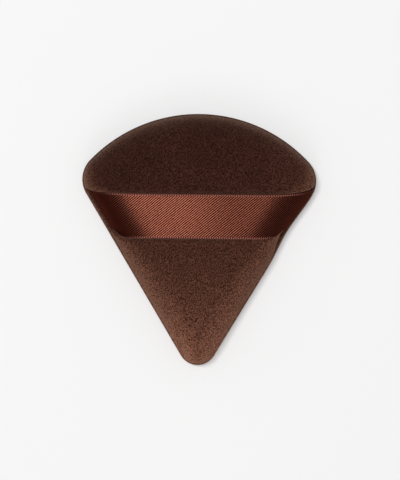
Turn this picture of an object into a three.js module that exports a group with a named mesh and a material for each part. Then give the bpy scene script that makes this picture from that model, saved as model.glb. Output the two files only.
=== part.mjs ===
// A triangular powder puff: two velour panels sewn together over wadding and a foam core, with a satin
// ribbon across the back as a finger strap. Millimetres, +Z up, powder face down on the table.
// The origin lies under the middle of the outline; +Y points from the tip to the arc.
import * as THREE from 'three';

// Outline from above: a rounded tip, two straight sides, two rounded corners and a shallow arc
const PUFF_LENGTH = 85; // tip to the top of the arc
const SIDE_ANGLE = THREE.MathUtils.degToRad(30.9); // each straight side from the centre line
const TIP_RADIUS = 6.5;
const CORNER_RADIUS = 9.4;
const ARC_RADIUS = 50.9;
const LEAST_RADIUS = 0.5; // of a corner on an outline drawn far inside

// Velour panels
const VELOUR = 1.2; // ground and pile
const FACE_SHOULDER = 6.5; // width of the rounding between the edge and the flat powder face
const BACK_SHOULDER = 9.3; // width of the rounding between the edge and the crown of the back
const BACK_SETBACK = 0.7; // the back's edge inside the face's edge
const SEAM_ROLL = 0.5; // how far the edge rolls in from its widest line to the seam

// Seam
const SEAM_INSET = 2.6; // stitching line inside the outline
const ALLOWANCE_WIDTH = 3; // stitching line to the cut edge
const ALLOWANCE = 0.6; // thickness of a pressed allowance
const THREAD = 0.4; // diameter
const TURNING_GAP = 30; // stretch at the top of the arc that is sewn shut by hand
const LADDER_PITCH = 3;
const LADDER_REACH = 0.5; // each side of the stitching line

// Filling
const WADDING = 2;
const FILLING_EASE = 0.7; // room between the filling and the rounded inside of a panel

// Ribbon
const RIBBON_WIDTH = 15;
const RIBBON_THICKNESS = 0.4;
const RIBBON_FROM_TIP = 50.1; // tip to the ribbon's centre line
const RIBBON_END_INSET = 1.35; // where it goes into the seam
const FINGER_ROOM = 4.6; // clear height under the ribbon
const CROWN_RISE = 0.5; // crown of the back above the ribbon
const LIP_FOOT = 1.7; // foot of the groove's wall inside the ribbon's edge, at mid span
const LIP_CREST = 1.1; // crest of the groove's wall outside the ribbon's edge, at mid span
const END_ROOM = 0.4; // foot of the wall outside the ribbon's edge, where the ribbon goes down
const END_LIP = 2; // width of the wall there
const WIDENS_FROM = 0.5; // share of the half span where the groove starts to widen

const CLEARANCE = 0.3; // between neighbouring pieces

// Mesh steps
const COLUMNS = 16;
const EDGE_CROWDING = 0.6; // 0 spaces the columns evenly, 1 crowds them towards the sides
const TIP_CROWDING = 1.4; // power that crowds the rows towards the tip
const ARC_CROWDING = 1.5; // power that crowds the rows towards the arc
const EDGE_PULL = 6; // power that keeps a row's correction to its last columns
const TIP_ROWS = 8;
const WALL_ROWS = 3;
const FLOOR_ROWS = 3;
const ARC_ROWS = 6;
const SHOULDER_STEPS = 6;
const BEND_STEPS = 8;
const SPAN_STEPS = 6;
const EDGE_STEPS = [5, 8, 7, 7]; // on the tip, side, corner and arc of half the outline
const THREAD_SIDES = 6;
const THREAD_STEPS = 96;
const LADDER_STEPS = 8; // for each stitch

// Heights, stacked up from the table
const WADDING_Z = VELOUR + CLEARANCE;
const WADDING_TOP = WADDING_Z + WADDING;
const FACE_FLANGE_Z = WADDING_TOP + CLEARANCE;
const FACE_FLANGE_TOP = FACE_FLANGE_Z + ALLOWANCE;
const BACK_FLANGE_Z = FACE_FLANGE_TOP + RIBBON_THICKNESS + 2 * CLEARANCE;
const BACK_FLANGE_TOP = BACK_FLANGE_Z + ALLOWANCE;
const SEAM_Z = (FACE_FLANGE_TOP + BACK_FLANGE_Z) / 2;
const FACE_LIP_Z = SEAM_Z - CLEARANCE / 2; // the panels' edges meet outside the stitching line
const BACK_LIP_Z = SEAM_Z + CLEARANCE / 2;
const BACK_EDGE_Z = BACK_FLANGE_Z + VELOUR; // widest line of the back panel
const BACK_INNER_Z = BACK_FLANGE_TOP + CLEARANCE;
const GROOVE_Z = BACK_INNER_Z + VELOUR;
const RIBBON_Z = GROOVE_Z + FINGER_ROOM;
const RIBBON_MID_Z = RIBBON_Z + RIBBON_THICKNESS / 2;
const CROWN_Z = RIBBON_Z + RIBBON_THICKNESS + CROWN_RISE;

// Insets from the outline
const FLANGE_INSET = SEAM_INSET + ALLOWANCE_WIDTH;
const FOAM_INSET = FLANGE_INSET + CLEARANCE;

// Over each shoulder the ribbon bends through a quarter circle, about an axis along the puff's side
const BEND_RADIUS = RIBBON_MID_Z - BACK_LIP_Z;
const BEND_INSET = RIBBON_END_INSET + BEND_RADIUS;

const { cos, sin, asin, acos, sqrt, min, max, abs, sign, floor, round, PI } = Math;
const { lerp, clamp, smoothstep } = THREE.MathUtils;

// The outline's own axes: out of the right-hand side, and along it from the tip
const OUT = new THREE.Vector2(cos(SIDE_ANGLE), -sin(SIDE_ANGLE));
const ALONG = new THREE.Vector2(sin(SIDE_ANGLE), cos(SIDE_ANGLE));
const TIP_Y = -PUFF_LENGTH / 2;
const RIBBON_Y = TIP_Y + RIBBON_FROM_TIP;
const TIP_CENTRE = new THREE.Vector2(0, TIP_Y + TIP_RADIUS);
const ARC_CENTRE = new THREE.Vector2(0, -TIP_Y - ARC_RADIUS);

const place = (along, inset) => TIP_CENTRE.clone()
  .addScaledVector(OUT, TIP_RADIUS - inset)
  .addScaledVector(ALONG, along);

// Right half of the outline drawn a distance inside, as tip, side, corner and arc
function halfOutline(inset) {
  const tipRadius = max(TIP_RADIUS - inset, LEAST_RADIUS);
  const cornerRadius = max(CORNER_RADIUS - inset, LEAST_RADIUS);
  const arcRadius = ARC_RADIUS - inset;
  const tip = new THREE.Vector2(0, TIP_CENTRE.y + (inset + tipRadius - TIP_RADIUS) / sin(SIDE_ANGLE));
  const foot = place(0, inset + cornerRadius).sub(ARC_CENTRE);
  const reach = foot.dot(ALONG);
  const run = sqrt(reach ** 2 - foot.lengthSq() + (arcRadius - cornerRadius) ** 2) - reach;
  const corner = place(run, inset + cornerRadius);
  const turn = corner.clone().sub(ARC_CENTRE).angle();
  const sideStart = tip.clone().addScaledVector(OUT, tipRadius);
  const sideEnd = corner.clone().addScaledVector(OUT, cornerRadius);
  const half = new THREE.CurvePath();
  half.add(new THREE.EllipseCurve(tip.x, tip.y, tipRadius, tipRadius, -PI / 2, -SIDE_ANGLE));
  half.add(new THREE.LineCurve(sideStart, sideEnd));
  half.add(new THREE.EllipseCurve(corner.x, corner.y, cornerRadius, cornerRadius, -SIDE_ANGLE, turn));
  half.add(new THREE.EllipseCurve(0, ARC_CENTRE.y, arcRadius, arcRadius, turn, PI / 2));
  return half;
}

const outlines = new Map();

// A station counts the four stretches of half the outline, from 0 at the tip
const SIDE_START = 1;
const CORNER_START = 2;
const ARC_START = 3;
const ARC_TOP = 4;

function outlineAt(inset, station, side) {
  if (!outlines.has(inset)) outlines.set(inset, halfOutline(inset));
  const { curves } = outlines.get(inset);
  const stretch = min(floor(station), curves.length - 1);
  const point = curves[stretch].getPoint(station - stretch);
  return new THREE.Vector2(side * point.x, point.y);
}

const [, EDGE_SIDE, EDGE_CORNER, EDGE_ARC] = halfOutline(0).curves;
const SIDE_LENGTH = EDGE_SIDE.getLength();
const CORNER = new THREE.Vector2(EDGE_CORNER.aX, EDGE_CORNER.aY);

// Station of a point that lies a distance along the straight side, or past its end round the corner
function stationAlong(along) {
  if (along < SIDE_LENGTH) return SIDE_START + along / SIDE_LENGTH;
  return CORNER_START + (along - SIDE_LENGTH) / EDGE_CORNER.getLength();
}

// Distance of a point inside the outline
function depthAt({ x, y }) {
  const point = new THREE.Vector2(abs(x), y);
  const fromTip = point.clone().sub(TIP_CENTRE);
  const fromCorner = point.clone().sub(CORNER);
  const fromArc = point.clone().sub(ARC_CENTRE);
  if (fromTip.dot(ALONG) < 0) return TIP_RADIUS - fromTip.length();
  const pastSide = fromCorner.dot(ALONG) > 0;
  const belowArc = CORNER.clone().sub(ARC_CENTRE).cross(fromCorner) < 0;
  if (pastSide && belowArc) return CORNER_RADIUS - fromCorner.length();
  return min(TIP_RADIUS - fromTip.dot(OUT), ARC_RADIUS - fromArc.length());
}

// A point of the flat ribbon, x along it and across from its centre line, laid over the puff's shoulder
function laidRibbon(x, across) {
  const flat = new THREE.Vector2(abs(x), RIBBON_Y + across).sub(TIP_CENTRE);
  const flatInset = TIP_RADIUS - flat.dot(OUT);
  const tilt = clamp((BEND_INSET - flatInset) / BEND_RADIUS, 0, PI / 2);
  const inset = tilt > 0 ? BEND_INSET - BEND_RADIUS * sin(tilt) : flatInset;
  const z = RIBBON_MID_Z - BEND_RADIUS * (1 - cos(tilt));
  return { along: flat.dot(ALONG), inset, z, tilt };
}

// How far from the middle a line of the flat ribbon reaches the given inset once it is laid
function reachOf(across, inset) {
  const bent = BEND_RADIUS * asin(clamp((BEND_INSET - inset) / BEND_RADIUS, 0, 1));
  const flatInset = max(inset, BEND_INSET) - bent;
  return (TIP_RADIUS - flatInset + sin(SIDE_ANGLE) * (RIBBON_Y + across - TIP_CENTRE.y)) / cos(SIDE_ANGLE);
}

// Inset of the back's edge where the ribbon passes outside it
const PINCHED_TILT = acos(1 - (RIBBON_MID_Z - BACK_EDGE_Z) / BEND_RADIUS);
const PINCHED_SETBACK = BEND_INSET - BEND_RADIUS * sin(PINCHED_TILT) + RIBBON_THICKNESS / 2 + CLEARANCE;

const rounded = (t) => sqrt(1 - (1 - clamp(t, 0, 1)) ** 2);

// Heights of the back: its outer skin has no drop, and each layer under it drops by what lies above
const edgeHeight = (drop) => (drop > 0 ? BACK_INNER_Z + VELOUR - drop : BACK_EDGE_Z);

function crownHeight(depth, setback, drop) {
  const rise = rounded((depth - setback - drop) / (BACK_SHOULDER - drop));
  return lerp(edgeHeight(drop), CROWN_Z - drop, rise);
}

function grooveHeight(depth, setback, drop) {
  const rise = rounded((depth - setback - drop) / VELOUR);
  return lerp(edgeHeight(drop), GROOVE_Z - drop, rise);
}

// Lines of the groove across the puff: where each lies from the ribbon's centre line at mid span and at
// the ends, and its height as a share of the wall
function grooveLines(drop) {
  const footMid = RIBBON_WIDTH / 2 - LIP_FOOT;
  const crestMid = RIBBON_WIDTH / 2 + LIP_CREST;
  const footEnd = RIBBON_WIDTH / 2 + END_ROOM;
  const wall = Array.from({ length: WALL_ROWS + 1 }, (_, i) => {
    const t = i / WALL_ROWS;
    const mid = lerp(footMid, crestMid, t) + drop;
    const end = footEnd + END_LIP * t + drop;
    return { mid, end, share: smoothstep(t, 0, 1) };
  });
  const below = wall.map(({ mid, end, share }) => ({ mid: -mid, end: -end, share })).reverse();
  const bottom = Array.from({ length: FLOOR_ROWS - 1 }, (_, i) => {
    const t = lerp(-1, 1, (i + 1) / FLOOR_ROWS);
    return { mid: t * wall[0].mid, end: t * wall[0].end, share: 0 };
  });
  return [...below, ...bottom, ...wall];
}

// Place of a column across the puff, from -1 at the left edge to 1 at the right
function columnAt(i) {
  const even = lerp(-1, 1, i / COLUMNS);
  return lerp(even, sin((PI / 2) * even), EDGE_CROWDING);
}

const sideOf = (i) => sign(columnAt(i)) || 1;

// One line of the groove as a row of points, ending on the edge drawn at the given inset, at the station
// that it reaches at the pinched inset
function grooveRow({ mid, end }, inset, pinchedInset) {
  const station = stationAlong(laidRibbon(reachOf(end, pinchedInset), end).along);
  const last = laidRibbon(reachOf(end, inset), end);
  const miss = outlineAt(inset, station, 1).sub(place(last.along, last.inset));
  const points = Array.from({ length: COLUMNS + 1 }, (_, i) => {
    const u = abs(columnAt(i));
    const across = lerp(mid, end, smoothstep(u, WIDENS_FROM, 1));
    const laid = laidRibbon(u * reachOf(across, inset), across);
    const point = place(laid.along, laid.inset).addScaledVector(miss, u ** EDGE_PULL);
    return new THREE.Vector2(sideOf(i) * point.x, point.y);
  });
  return { points, station };
}

// Rows between two given rows, with their ends on the edge
function rowsBetween(lower, upper, count, inset, spread) {
  return Array.from({ length: count - 1 }, (_, j) => {
    const t = spread((j + 1) / count);
    const station = lerp(lower.station, upper.station, t);
    const right = outlineAt(inset, station, 1);
    const points = lower.points.map((low, i) => {
      const point = low.clone().lerp(upper.points[i], t);
      const straight = lower.points[COLUMNS].clone().lerp(upper.points[COLUMNS], t);
      const miss = right.clone().sub(straight);
      const u = columnAt(i);
      return point.add(new THREE.Vector2(u * miss.x, miss.y));
    });
    return { points, station };
  });
}

// Grid of points over the puff with rows along the groove, a drop below the back's outer skin. Each point
// has a mark: its station and side, if it lies on the edge, and the setback of the back's edge there
function backLayer(drop, fixedInset) {
  const insetOf = (setback) => fixedInset ?? setback + drop;
  const lines = grooveLines(drop).map((line) => {
    const setback = line.share < 1 ? PINCHED_SETBACK : BACK_SETBACK;
    const row = grooveRow(line, insetOf(setback), insetOf(PINCHED_SETBACK));
    return { ...row, share: line.share, setback };
  });
  const open = insetOf(BACK_SETBACK);
  const [lowCrest] = lines;
  const highCrest = lines.at(-1);
  const edgeRow = (stationOf, station) => {
    const stations = Array.from({ length: COLUMNS + 1 }, (_, i) => stationOf(abs(columnAt(i))));
    return { points: stations.map((at, i) => outlineAt(open, at, sideOf(i))), station, stations };
  };
  const cornerStation = (highCrest.station + ARC_START) / 2;
  const tip = edgeRow((u) => SIDE_START * u, SIDE_START);
  const arc = edgeRow((u) => lerp(ARC_TOP, cornerStation, u), cornerStation);
  const rows = [
    tip,
    ...rowsBetween(tip, lowCrest, TIP_ROWS, open, (t) => t ** TIP_CROWDING),
    ...lines,
    ...rowsBetween(highCrest, arc, ARC_ROWS, open, (t) => 1 - (1 - t) ** ARC_CROWDING),
    arc,
  ];
  const grid = rows.map(({ points, share = 1, setback = BACK_SETBACK }) => points.map((point) => {
    const depth = depthAt(point);
    const crest = crownHeight(depth, setback, drop);
    const z = lerp(grooveHeight(depth, setback, drop), crest, share);
    return new THREE.Vector3(point.x, point.y, z);
  }));
  const marks = rows.map(({ points, station, stations, setback = BACK_SETBACK }) => points.map((_, i) => (
    { station: stations?.[i] ?? station, side: sideOf(i), setback }
  )));
  return { grid, marks };
}

// The rim of a grid as one ring, anticlockwise from above
function rimOf(rows) {
  const lastRow = rows.length - 1;
  const right = rows.slice(1, lastRow).map((row) => row.at(-1));
  const left = rows.slice(1, lastRow).map((row) => row[0]).reverse();
  return [...rows[0], ...right, ...rows[lastRow].toReversed(), ...left];
}

// Ring at the stations of a rim, with the inset and height of each mark
function ringAt(rimMarks, insetOf, heightOf) {
  return rimMarks.map((mark) => {
    const { x, y } = outlineAt(insetOf(mark), mark.station, mark.side);
    return new THREE.Vector3(x, y, heightOf(mark));
  });
}

// Closed surface from a top, rings that follow each other outwards and down, and a bottom
class Shell {
  constructor() {
    this.positions = [];
  }

  triangle(a, b, c) {
    for (const point of [a, b, c]) this.positions.push(point.x, point.y, point.z);
  }

  quad(a, b, c, d) {
    this.triangle(a, b, c);
    this.triangle(a, c, d);
  }

  grid(rows, upwards) {
    for (let j = 0; j < rows.length - 1; j += 1) {
      for (let i = 0; i < rows[j].length - 1; i += 1) {
        const corners = [rows[j][i], rows[j][i + 1], rows[j + 1][i + 1], rows[j + 1][i]];
        this.quad(...(upwards ? corners : corners.reverse()));
      }
    }
  }

  flat(ring, upwards) {
    for (const [a, b, c] of THREE.ShapeUtils.triangulateShape(ring, [])) {
      this.triangle(...(upwards ? [ring[a], ring[b], ring[c]] : [ring[c], ring[b], ring[a]]));
    }
  }

  rings(rings) {
    for (let r = 0; r < rings.length - 1; r += 1) {
      const count = rings[r].length;
      for (let k = 0; k < count; k += 1) {
        const next = (k + 1) % count;
        this.quad(rings[r][k], rings[r + 1][k], rings[r + 1][next], rings[r][next]);
      }
    }
  }

  geometry() {
    const geometry = new THREE.BufferGeometry();
    geometry.setAttribute('position', new THREE.Float32BufferAttribute(this.positions, 3));
    geometry.computeVertexNormals();
    return geometry;
  }
}

// Back panel: crowned over the filling, with the groove for the fingers and its seam allowance turned in
function backVelour() {
  const outer = backLayer(0);
  const inner = backLayer(VELOUR);
  const outerMarks = rimOf(outer.marks);
  const rolledIn = (roll) => ({ setback }) => setback + roll;
  const cutEdge = () => FLANGE_INSET;
  const lip = ({ setback }) => (setback === BACK_SETBACK ? BACK_LIP_Z : BACK_FLANGE_Z);
  const shell = new Shell();
  shell.grid(outer.grid, true);
  shell.rings([
    rimOf(outer.grid),
    ringAt(outerMarks, rolledIn(SEAM_ROLL), lip),
    ringAt(outerMarks, rolledIn(2 * SEAM_ROLL), () => BACK_FLANGE_Z),
    ringAt(outerMarks, cutEdge, () => BACK_FLANGE_Z),
    ringAt(outerMarks, cutEdge, () => BACK_FLANGE_TOP),
    ringAt(rimOf(inner.marks), rolledIn(VELOUR + CLEARANCE), () => BACK_FLANGE_TOP),
    rimOf(inner.grid),
  ]);
  shell.grid(inner.grid, false);
  return shell.geometry();
}

// Edge of the puff as a ring of points at an inset and a height
function edgeRing(inset, z) {
  const half = [];
  EDGE_STEPS.forEach((steps, stretch) => {
    for (let i = 0; i < steps; i += 1) half.push(stretch + i / steps);
  });
  const right = half.map((station) => outlineAt(inset, station, 1));
  const left = half.slice(1).map((station) => outlineAt(inset, station, -1)).reverse();
  const top = outlineAt(inset, ARC_TOP, 1);
  return [...right, top, ...left].map(({ x, y }) => new THREE.Vector3(x, y, z));
}

// Face panel: flat below, rounded up to the edge, with its seam allowance turned in
function faceVelour() {
  const edgeZ = WADDING_TOP;
  const shoulder = (skin) => Array.from({ length: SHOULDER_STEPS + 1 }, (_, i) => {
    const turn = (PI / 2) * (i / SHOULDER_STEPS);
    const inset = FACE_SHOULDER - (FACE_SHOULDER - skin) * sin(turn);
    return edgeRing(inset, edgeZ - (edgeZ - skin) * cos(turn));
  });
  const inside = shoulder(VELOUR);
  const outside = shoulder(0).reverse();
  const shell = new Shell();
  shell.flat(inside[0], true);
  shell.rings([
    ...inside,
    edgeRing(VELOUR + CLEARANCE, FACE_FLANGE_Z),
    edgeRing(FLANGE_INSET, FACE_FLANGE_Z),
    edgeRing(FLANGE_INSET, FACE_FLANGE_TOP),
    edgeRing(BACK_SETBACK + 2 * SEAM_ROLL, FACE_FLANGE_TOP),
    edgeRing(BACK_SETBACK + SEAM_ROLL, FACE_LIP_Z),
    ...outside,
  ]);
  shell.flat(outside.at(-1), false);
  return shell.geometry();
}

// Foam core: cut inside the seam allowances, shaped to the back panel above it
function foamCore() {
  const top = backLayer(VELOUR + FILLING_EASE, FOAM_INSET).grid;
  const rim = rimOf(top);
  const base = rim.map(({ x, y }) => new THREE.Vector3(x, y, FACE_FLANGE_Z));
  const shell = new Shell();
  shell.grid(top, true);
  shell.rings([rim, base]);
  shell.flat(base, false);
  return shell.geometry();
}

const slab = (points, z, thickness) => new THREE.ExtrudeGeometry(new THREE.Shape(points), {
  depth: thickness,
  bevelEnabled: false,
}).translate(0, 0, z);

// Wadding: a flat layer over the powder face, cut to lie inside the face's rounding
function faceWadding() {
  const level = (WADDING_TOP - WADDING_Z) / (WADDING_TOP - VELOUR);
  const wall = FACE_SHOULDER - (FACE_SHOULDER - VELOUR) * sqrt(1 - level ** 2);
  return slab(edgeRing(wall + FILLING_EASE, 0), WADDING_Z, WADDING);
}

// Ribbon between the two seams: flat over the fingers, bent down over each shoulder
function ribbonStrap() {
  const across = [-RIBBON_WIDTH / 2, 0, RIBBON_WIDTH / 2];
  const bendAt = (line) => reachOf(line, BEND_INSET);
  const endAt = (line) => reachOf(line, RIBBON_END_INSET);
  const lengthwise = (line) => {
    const bend = Array.from({ length: BEND_STEPS }, (_, i) => lerp(endAt(line), bendAt(line), i / BEND_STEPS));
    const span = Array.from({ length: SPAN_STEPS + 1 }, (_, i) => lerp(-1, 1, i / SPAN_STEPS) * bendAt(line));
    return [...bend.map((x) => -x), ...span, ...bend.toReversed()];
  };
  const side = (offset) => across.map((line) => lengthwise(line).map((x) => {
    const { along, inset, z, tilt } = laidRibbon(x, line);
    const point = place(along, inset).addScaledVector(OUT, offset * sin(tilt));
    return new THREE.Vector3((sign(x) || 1) * point.x, point.y, z + offset * cos(tilt));
  }));
  const top = side(RIBBON_THICKNESS / 2);
  const under = side(-RIBBON_THICKNESS / 2);
  const shell = new Shell();
  shell.grid(top, true);
  shell.rings([rimOf(top), rimOf(under)]);
  shell.grid(under, false);
  return shell.geometry();
}

// End of the ribbon between the seam allowances, behind the stitching line
function ribbonTail(side) {
  const stationOf = (across) => stationAlong(laidRibbon(reachOf(across, RIBBON_END_INSET), across).along);
  const from = stationOf(-RIBBON_WIDTH / 2);
  const to = stationOf(RIBBON_WIDTH / 2);
  const lineAt = (inset) => Array.from({ length: BEND_STEPS + 1 }, (_, i) => (
    outlineAt(inset, lerp(from, to, i / BEND_STEPS), side)
  ));
  const seamSide = lineAt(SEAM_INSET + THREAD / 2 + CLEARANCE);
  const cutSide = lineAt(FLANGE_INSET - CLEARANCE).reverse();
  return slab([...seamSide, ...cutSide], SEAM_Z - RIBBON_THICKNESS / 2, RIBBON_THICKNESS);
}

function threadAlong(points, steps) {
  const section = Array.from({ length: THREAD_SIDES }, (_, i) => {
    const turn = (2 * PI * i) / THREAD_SIDES;
    return new THREE.Vector2(cos(turn), sin(turn)).multiplyScalar(THREAD / 2);
  });
  return new THREE.ExtrudeGeometry(new THREE.Shape(section), {
    steps,
    bevelEnabled: false,
    extrudePath: new THREE.CatmullRomCurve3(points),
  });
}

// Station on the arc a distance from its top
const arcStation = (distance) => ARC_TOP - distance / EDGE_ARC.getLength();

// Machine seam: one run of thread between the allowances, from one end of the turning gap to the other
function seamThread() {
  const start = arcStation(TURNING_GAP / 2);
  const half = Array.from({ length: THREAD_STEPS / 2 + 1 }, (_, i) => (2 * start * i) / THREAD_STEPS);
  const right = half.map((station) => outlineAt(SEAM_INSET, station, 1)).reverse();
  const left = half.slice(1).map((station) => outlineAt(SEAM_INSET, station, -1));
  const points = [...right, ...left].map(({ x, y }) => new THREE.Vector3(x, y, SEAM_Z));
  return threadAlong(points, THREAD_STEPS);
}

// Ladder stitch that shuts the turning gap by hand, weaving to and fro across the stitching line
function closingStitch() {
  const length = TURNING_GAP - LADDER_PITCH;
  const count = LADDER_STEPS * round(length / LADDER_PITCH);
  const points = Array.from({ length: count + 1 }, (_, i) => {
    const distance = length * (i / count - 1 / 2);
    const sway = LADDER_REACH * sin((2 * PI * i) / LADDER_STEPS);
    const { x, y } = outlineAt(SEAM_INSET, arcStation(abs(distance)), sign(distance) || 1);
    const outward = new THREE.Vector2(x, y).sub(ARC_CENTRE).normalize();
    return new THREE.Vector3(x + sway * outward.x, y + sway * outward.y, SEAM_Z);
  });
  return threadAlong(points, count);
}

const velour = { color: 0x432720, roughness: 0.95 };
const satin = { color: 0x6f392b, roughness: 0.4 };
const thread = { color: 0x3a2019, roughness: 0.7 };
const foam = { color: 0xe9dcc3, roughness: 0.9 };
const fibre = { color: 0xf1eee8, roughness: 0.95 };

const puff = new THREE.Group();

function addPiece(name, geometry, finish) {
  const mesh = new THREE.Mesh(geometry, new THREE.MeshStandardMaterial({ ...finish, metalness: 0 }));
  mesh.name = name;
  puff.add(mesh);
}

addPiece('face_velour', faceVelour(), velour);
addPiece('back_velour', backVelour(), velour);
addPiece('face_wadding', faceWadding(), fibre);
addPiece('foam_core', foamCore(), foam);
addPiece('ribbon_strap', ribbonStrap(), satin);
addPiece('ribbon_tail_left', ribbonTail(-1), satin);
addPiece('ribbon_tail_right', ribbonTail(1), satin);
addPiece('seam_thread', seamThread(), thread);
addPiece('closing_stitch', closingStitch(), thread);

export default puff;
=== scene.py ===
"""A triangular powder puff: velour panels over foam and wadding, with a satin ribbon as its finger strap."""

import math

import bpy
import numpy as np
from bpy.props import FloatProperty, FloatVectorProperty, PointerProperty
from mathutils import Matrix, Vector, noise


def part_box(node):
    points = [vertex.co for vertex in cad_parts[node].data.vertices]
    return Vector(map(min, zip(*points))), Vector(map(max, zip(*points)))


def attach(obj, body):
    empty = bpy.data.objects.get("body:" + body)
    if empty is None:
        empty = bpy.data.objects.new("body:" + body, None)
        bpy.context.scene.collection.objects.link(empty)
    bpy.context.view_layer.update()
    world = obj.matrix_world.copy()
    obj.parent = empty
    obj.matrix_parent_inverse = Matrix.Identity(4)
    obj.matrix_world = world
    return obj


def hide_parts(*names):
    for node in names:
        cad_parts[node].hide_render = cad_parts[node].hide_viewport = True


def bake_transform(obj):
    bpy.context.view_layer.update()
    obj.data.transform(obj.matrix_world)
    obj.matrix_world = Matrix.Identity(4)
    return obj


bl_info = {
    "name": "Powder puff",
    "version": (1, 0, 0),
    "blender": (4, 5, 0),
    "location": "3D View > Sidebar > Puff",
    "description": "Dresses a triangular powder puff in velour, with its ribbon, filling and stitching",
    "category": "Object",
}

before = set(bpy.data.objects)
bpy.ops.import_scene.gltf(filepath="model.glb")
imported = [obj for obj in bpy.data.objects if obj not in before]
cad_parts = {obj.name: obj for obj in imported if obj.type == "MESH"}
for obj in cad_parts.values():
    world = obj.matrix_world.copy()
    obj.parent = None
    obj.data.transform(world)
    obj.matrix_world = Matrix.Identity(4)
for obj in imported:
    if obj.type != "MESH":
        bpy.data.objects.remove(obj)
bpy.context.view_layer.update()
MM = 0.001

# Places that the frame gives
FACE_LOW, FACE_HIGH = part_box("face_velour")
BACK_LOW, BACK_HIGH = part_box("back_velour")
STRAP_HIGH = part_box("ribbon_strap")[1]
FOAM_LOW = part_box("foam_core")[0]
WADDING_LOW, WADDING_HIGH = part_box("face_wadding")
TAIL_LOW, TAIL_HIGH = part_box("ribbon_tail_right")
TIP_Y = FACE_LOW.y
ARC_Y = FACE_HIGH.y
FACE_EDGE_Z = WADDING_HIGH.z
SEAM_Z = (TAIL_LOW.z + TAIL_HIGH.z) / 2
CROWN_Z = BACK_HIGH.z
RIBBON_TOP_Z = STRAP_HIGH.z
CAD_RIBBON = TAIL_HIGH.z - TAIL_LOW.z  # thickness of the ribbon in the solids

# Seam allowances, turned in between the panels
ALLOWANCE = 0.6 * MM
ALLOWANCE_GAP = 0.5 * MM  # from the middle of the seam to each allowance
BACK_FLANGE_Z = SEAM_Z + ALLOWANCE_GAP
FACE_FLANGE_Z = SEAM_Z - ALLOWANCE_GAP - ALLOWANCE
CLEARANCE = 0.3 * MM  # between cloth that lies close together
FILLING_EASE = 0.7 * MM  # room round the filling
LEAST_RADIUS = 0.5 * MM  # of a rounding that is drawn inside the outline

# Ends of the ribbon, turned into the seam
TURN_IN = 0.4 * MM  # radius of the turn
TAIL_Z = SEAM_Z + 0.35 * MM  # just below the back's allowance
BOW_SPAN = 17 * MM  # how far the bow of its middle spreads to each side
BOW_SUNK = 0.6  # share of the bow by which the shoulders lie lower

# Groove under the ribbon, and the lips that lie against the ribbon's edges
LIP_ROLL = 2.0 * MM  # from the lip's edge to its crest
LIP_CREST = 9.5 * MM  # crest from the ribbon's centre line
UPPER_CREST_END = (10.4 * MM, 11.1 * MM)  # the same at the left and right ends, on the arc's side
LOWER_CREST_END = (7.9 * MM, 7.4 * MM)  # and on the tip's side, where the lip closes over the ribbon
UPPER_BEND = (0.55, 2)  # the share of the half span from which the crest bends, and the power of the bend
LOWER_BEND = (0.8, 3)
WALL_SLOPE = 1.7 * MM  # foot of the wall inside the lip's edge, at mid span
WALL_SLOPE_END = 0.1 * MM  # and at the ends
WALL_STEEPENS_FROM = 0.5  # share of the half span
ROLL_FROM = 0.8  # height of the lip's edge as a share of the wall
PINCHED_UP_TO = 0.3  # height up to which the ribbon's end holds the wall back, likewise
FOOT_CURVE = 1.5  # the higher, the more slowly the wall rises from its foot
EDGE_ROLL = 0.8 * MM  # how far the back's edge rolls in down to the seam
CREASE = np.array((0.1 * MM, 0.9 * MM))  # how far the seam gapes just below the ribbon, left and right
CREASE_BELOW = 0.5 * MM  # middle of the gaping stretch, below the lip's crest
CREASE_REACH = 8 * MM  # from there to where the seam is shut again

# The ribbon draws the outline in on the right
PULL = 0.85 * MM  # how far at most
PULL_BELOW = 5 * MM  # middle of the drawn stretch, below the ribbon's centre line
PULL_REACH = 14 * MM  # from there to where the outline is straight again
PULL_DEPTH = 12 * MM  # how far in the puff follows

# Mesh steps
BEND_STEPS = 200
COLUMNS = 120
EDGE_CROWDING = 0.6  # how much columns and rows crowd towards the edge
EDGE_PULL = 6  # power with which the groove's rows are drawn to the edge at their ends
TIP_ROWS = 64
TIP_CROWDING = 1.4  # power with which rows crowd towards the tip
ARC_ROWS = 44
ARC_CROWDING = 1.5  # and towards the arc
WALL_ROWS = 8
ROLL_ROWS = 8
FLOOR_ROWS = 8
FACE_ROWS = 110
EDGE_RINGS = 5
EDGE_TURNS = np.linspace(0, math.pi / 2, EDGE_RINGS + 1)[1:]
SHARP_EDGE = math.radians(50)  # edges that turn more than this look sharp

# Stations count the four stretches of half the outline from the tip
SIDE_START = 1
CORNER_START = 2
ARC_START = 3
ARC_TOP = 4


def length_property(name, description, default):
    return FloatProperty(name=name, description=description, default=default, unit="LENGTH", precision=5)


def pair_property(name, description, default):
    """Two lengths."""
    return FloatVectorProperty(
        name=name, description=description, default=default, size=2, subtype="XYZ_LENGTH", precision=5,
    )


def angle_property(name, description, degrees):
    return FloatProperty(name=name, description=description, default=math.radians(degrees), subtype="ANGLE")


def colour_property(name, description, default):
    return FloatVectorProperty(
        name=name, description=description, default=default, subtype="COLOR", min=0, max=1,
    )


def amount_property(name, description, default, unit="NONE"):
    """A number that isn't a length or an angle."""
    return FloatProperty(name=name, description=description, default=default, unit=unit, min=0)


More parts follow.
